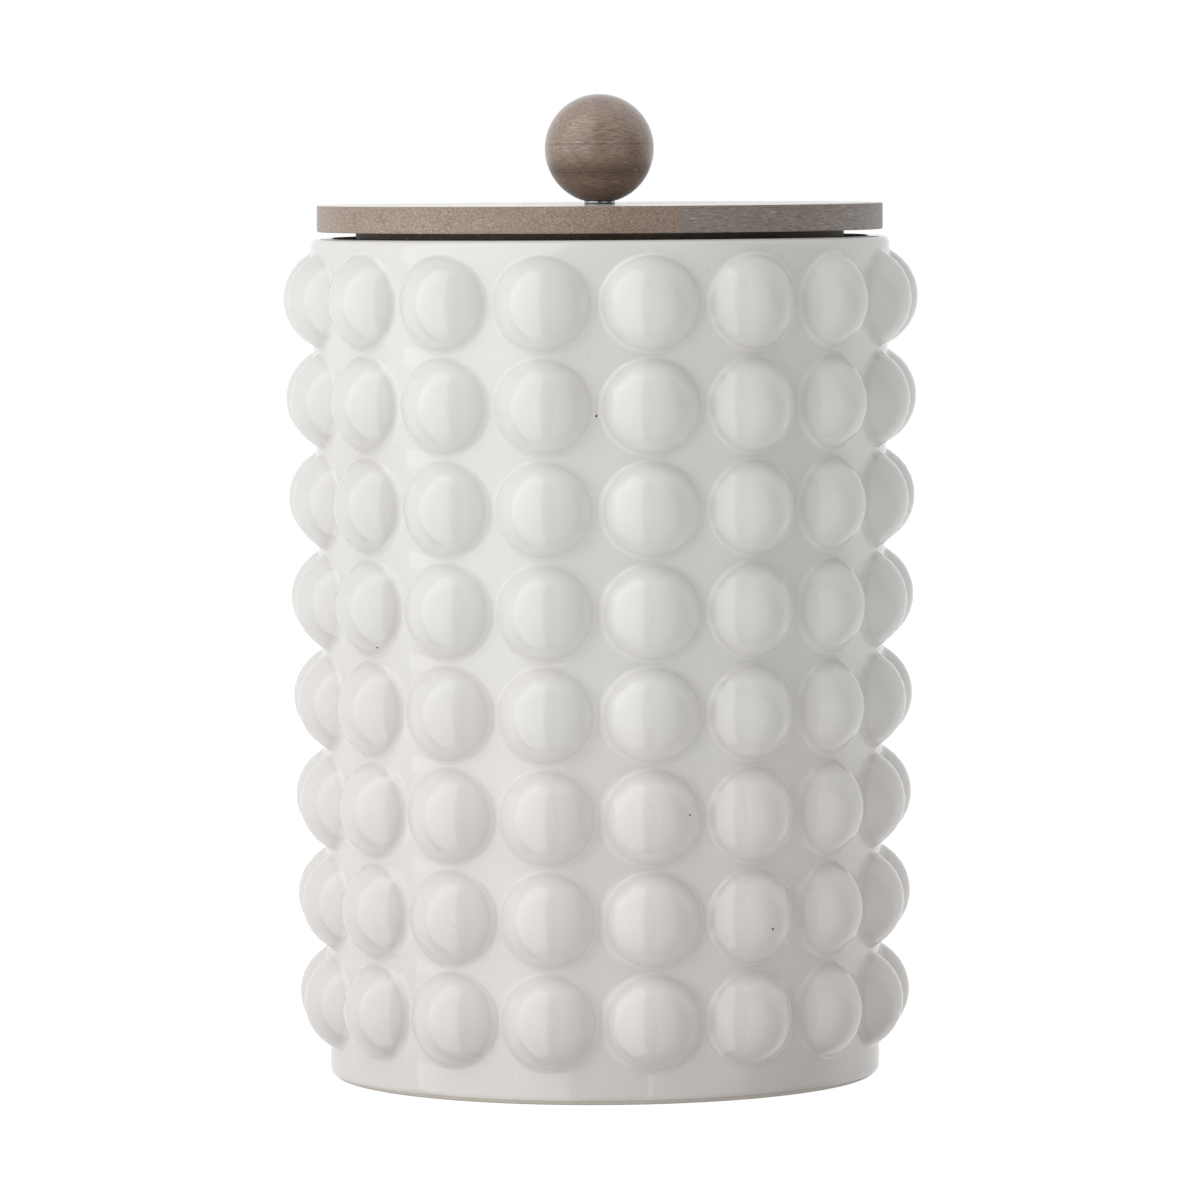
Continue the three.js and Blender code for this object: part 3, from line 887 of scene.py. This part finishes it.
flat_radius = LID_RADIUS - LID_EDGE_ROUND
lid_outline = (
    [(0, 0), (flat_radius - EDGE_BAND, 0)]
    + arc(flat_radius, LID_EDGE_ROUND, LID_EDGE_ROUND, -90, 0)
    + arc(flat_radius, LID_THICKNESS - LID_EDGE_ROUND, LID_EDGE_ROUND, 0, 90)
    + [(flat_radius - EDGE_BAND, LID_THICKNESS), (0, LID_THICKNESS)]
)
lid_outline = [(radius, z + LID_SEAT) for radius, z in lid_outline]
for name, node, start, end, (light, dark), end_grain_scale, coat in boards:
    board = turned(name, lid_outline)
    sawn = bmesh.new()
    sawn.from_mesh(board.data)
    for seam, outward in ((start, -1), (end, 1)):
        if seam is not None:
            cut = bmesh.ops.bisect_plane(
                sawn,
                geom=sawn.verts[:] + sawn.edges[:] + sawn.faces[:],
                plane_co=(seam * MM, 0, 0),
                plane_no=(outward, 0, 0),
                clear_outer=True,
            )
            cut_edges = [item for item in cut["geom_cut"] if isinstance(item, bmesh.types.BMEdge)]
            bmesh.ops.contextual_create(sawn, geom=cut_edges)
    bmesh.ops.recalc_face_normals(sawn, faces=sawn.faces[:])
    sawn.to_mesh(board.data)
    sawn.free()
    board.data.set_sharp_from_angle(angle=SHARP_ANGLE)
    end_grain = (end_grain_scale, ALONG_Y[1], 1)
    middle_shade = () if name == "board_right" else PAINTED_MIDDLE_SHADE
    finishes = (
        ("oiled_beech_edge", end_grain, 0.5, 0),
        ("lacquered_beech_top", ALONG_Y, 0.4, coat),
    )
    for finish, grain, roughness, gloss in finishes:
        wood = stained_beech(
            f"{finish}_{name}", light, dark, grain, roughness, gloss, layers_and_shade=middle_shade, across="X"
        )
        board.data.materials.append(wood)
    for polygon in board.data.polygons:
        if polygon.normal.z > 0.9:
            polygon.material_index = 1
    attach(board, "lid")
    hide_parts(node)

# Plug: a thick disc of the same beech glued under the lid, with a groove turned round it for
# the seal. It centres the lid in the mouth.
PLUG_RADIUS = 68.5
PLUG_DEPTH = 14
PLUG_ROUND = 1
GROOVE_DEPTH = 2.5
SEAL_DROP = 2.2
SEAL_HEIGHT = 6.6
SCREW_HOLE_RADIUS = 2.3
SINK_RADIUS = 4.3
SINK_DEPTH = 2.4

groove = PLUG_RADIUS - GROOVE_DEPTH
plug_outline = (
    [(SCREW_HOLE_RADIUS, SINK_DEPTH - PLUG_DEPTH), (SINK_RADIUS, -PLUG_DEPTH)]
    + [(PLUG_RADIUS - PLUG_ROUND - EDGE_BAND, -PLUG_DEPTH)]
    + arc(PLUG_RADIUS - PLUG_ROUND, PLUG_ROUND - PLUG_DEPTH, PLUG_ROUND, -90, 0)
    + [(PLUG_RADIUS, -SEAL_DROP - SEAL_HEIGHT), (groove, -SEAL_DROP - SEAL_HEIGHT)]
    + [(groove, -SEAL_DROP), (PLUG_RADIUS, -SEAL_DROP), (PLUG_RADIUS, 0), (SCREW_HOLE_RADIUS, 0)]
)
plug = turned("plug", [(radius, z + LID_SEAT) for radius, z in plug_outline])
# The plug's colours are the lid's beech darkened, as painted shade for the dark under the lid.
wood = stained_beech("beech_plug_painted_shade", "#97836f", "#715e4f", ALONG_Y, 0.5)
plug.data.materials.append(wood)
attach(plug, "lid")
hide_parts("lid_plug")

# Seal: a soft black rubber ring stretched into the plug's groove. Its lip lies over the mouth's
# rounded edge and its fin brushes the wall below.
SEAL_BAND = 3
SEAL_CLEARANCE = 0.4
GROOVE_CLEARANCE = 0.3
LIP_TIP = 0.6
LIP_ROOT = 0.9
FIN_RISE = 1.2

inner = groove + GROOVE_CLEARANCE
outer = inner + SEAL_BAND
seal_top = -SEAL_DROP
seal_bottom = seal_top - SEAL_HEIGHT
lip_reach = (RIM_INNER_ROUND + SEAL_CLEARANCE) * math.sqrt(0.5)
lip_radius = wall_radius(mouth_round) - WALL_THICKNESS + RIM_INNER_ROUND - lip_reach
lip_height = mouth_round + lip_reach - LID_SEAT
fin_root = seal_bottom + FIN_RISE
fin_tip = fin_root + FIN_RISE
fin_radius = wall_radius(fin_tip + LID_SEAT) - WALL_THICKNESS - SEAL_CLEARANCE
seal_outline = [
    (inner, seal_bottom),
    (outer - LIP_TIP, seal_bottom),
    (outer, seal_bottom + LIP_TIP),
    (outer, fin_root),
    (fin_radius - LIP_TIP / 2, fin_tip),
    (fin_radius, fin_tip + LIP_TIP / 2),
    (fin_radius - LIP_TIP / 2, fin_tip + LIP_TIP),
    (outer, fin_root + LIP_ROOT),
    (outer, seal_top - LIP_ROOT),
    (lip_radius - LIP_TIP / 2, lip_height),
    (lip_radius, lip_height + LIP_TIP / 2),
    (lip_radius - LIP_TIP / 2, lip_height + LIP_TIP),
    (outer, seal_top),
    (inner, seal_top),
]
seal = turned("seal", [(radius, z + LID_SEAT) for radius, z in seal_outline])

# Black rubber: moulded, matt with a faint bloom that makes it a very dark warm grey. Its black
# is partly painted shade, for the dark gap under the lid.
BLOOM_SIZE = 3

rubber = bpy.data.materials.new("black_rubber_painted_shade")
rubber.use_nodes = True
tree = rubber.node_tree
shader = tree.nodes["Principled BSDF"]
place = add_node(tree, "ShaderNodeTexCoord").outputs["Object"]
bloom = add_node(
    tree, "ShaderNodeTexNoise", {"Vector": place, "Scale": per_mm(BLOOM_SIZE), "Detail": 3}
)
black = add_node(
    tree,
    "ShaderNodeMixRGB",
    {"Fac": bloom.outputs["Fac"], "Color1": linear("#1c1a18"), "Color2": linear("#292623")},
)
tree.links.new(black.outputs["Color"], shader.inputs["Base Color"])
shader.inputs["Roughness"].default_value = 0.6
seal.data.materials.append(rubber)
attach(seal, "lid")
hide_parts("seal_ring")

# Washer: a small stamped steel disc, nickel plated. The screw holds it between the ball and the
# lid, and it keeps the ball off the lacquer.
WASHER_RADIUS = 4.35
WASHER_THICKNESS = 1
WASHER_ROUND = 0.25
WASHER_STEPS = 64

washer_outline = (
    [(SCREW_HOLE_RADIUS, 0)]
    + arc(WASHER_RADIUS - WASHER_ROUND, WASHER_ROUND, WASHER_ROUND, -90, 0)
    + arc(WASHER_RADIUS - WASHER_ROUND, WASHER_THICKNESS - WASHER_ROUND, WASHER_ROUND, 0, 90)
    + [(SCREW_HOLE_RADIUS, WASHER_THICKNESS)]
)
lid_top = LID_SEAT + LID_THICKNESS
washer_outline = [(radius, z + lid_top) for radius, z in washer_outline]
washer = turned("washer", washer_outline, WASHER_STEPS)

# Nickel plate on steel: bright and silvery, softly blurred by fine marks round its rim. Real ones
# are finer than the render can show, so these are drawn 0.15 mm apart.
MARK_SPACING = 0.15

nickel = bpy.data.materials.new("nickel_plated_steel")
nickel.use_nodes = True
tree = nickel.node_tree
shader = tree.nodes["Principled BSDF"]
place = add_node(tree, "ShaderNodeTexCoord").outputs["Object"]
marks_place = add_node(tree, "ShaderNodeMapping", {"Vector": place, "Scale": (0.1, 0.1, 1)})
marks = add_node(
    tree,
    "ShaderNodeTexNoise",
    {"Vector": marks_place.outputs[0], "Scale": per_mm(MARK_SPACING), "Detail": 2},
)
polish = add_node(
    tree, "ShaderNodeMapRange", {"Value": marks.outputs["Fac"], "To Min": 0.18, "To Max": 0.34}
)
tree.links.new(polish.outputs["Result"], shader.inputs["Roughness"])
shader.inputs["Base Color"].default_value = linear("#a3a19c")
shader.inputs["Metallic"].default_value = 1
washer.data.materials.append(nickel)
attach(washer, "lid")
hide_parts("knob_washer")

# Knob: a ball turned from beech with a small flat underneath and a hole for the screw. It is
# stained and rubbed with hard oil, which gives a soft shine, and its grain lies across.
KNOB_RADIUS = 15.3
KNOB_FLAT_RADIUS = 4.9
KNOB_STEPS = 48  # from the flat to the top
KNOB_TURNED_STEPS = 128
KNOB_HOLE_DEPTH = 16.6

knob_seat = lid_top + WASHER_THICKNESS
knob_centre = math.sqrt(KNOB_RADIUS**2 - KNOB_FLAT_RADIUS**2)
flat_turn = -math.degrees(math.asin(knob_centre / KNOB_RADIUS))
knob_outline = (
    [(0, KNOB_HOLE_DEPTH), (SCREW_HOLE_RADIUS, KNOB_HOLE_DEPTH), (SCREW_HOLE_RADIUS, 0)]
    + arc(0, knob_centre, KNOB_RADIUS, flat_turn, 90, KNOB_STEPS)[:-1]
    + [(0, knob_centre + KNOB_RADIUS)]
)
knob_outline = [(radius, z + knob_seat) for radius, z in knob_outline]
knob = turned("ball_knob", knob_outline, KNOB_TURNED_STEPS)
LAYERS = (  # darker bands of late wood, strongest in the ball's lower third
    (knob_seat + 15.8, 0.45, 0.4),
    (knob_seat + 8.3, 3.2, 0.42),
    (knob_seat + 7.8, 0.4, 0.35),
    (knob_seat + 6.9, 0.3, 0.3),
    (knob_seat + 2, 4, 0.15),
)
ALONG_X = (1 / 10, 1 / 3, 1)
oiled_ball = stained_beech(
    "oiled_beech_ball",
    "#b29b8c",
    "#7e6a5b",
    ALONG_X,
    0.3,
    coat=0.4,
    coat_roughness=0.12,
    sheen=0.2,
    fibre_size=0.3,
    pore_depth=0.5,
    layers_and_shade=LAYERS,
)
knob.data.materials.append(oiled_ball)
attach(knob, "lid")
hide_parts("knob")

# Screw: a wood screw of nickel plated steel with a countersunk head. It goes up through the plug,
# the lid and the washer into the ball, and its head shows in the plug's underside.
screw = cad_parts["knob_screw"]
screw.data.materials.clear()
screw.data.materials.append(nickel)
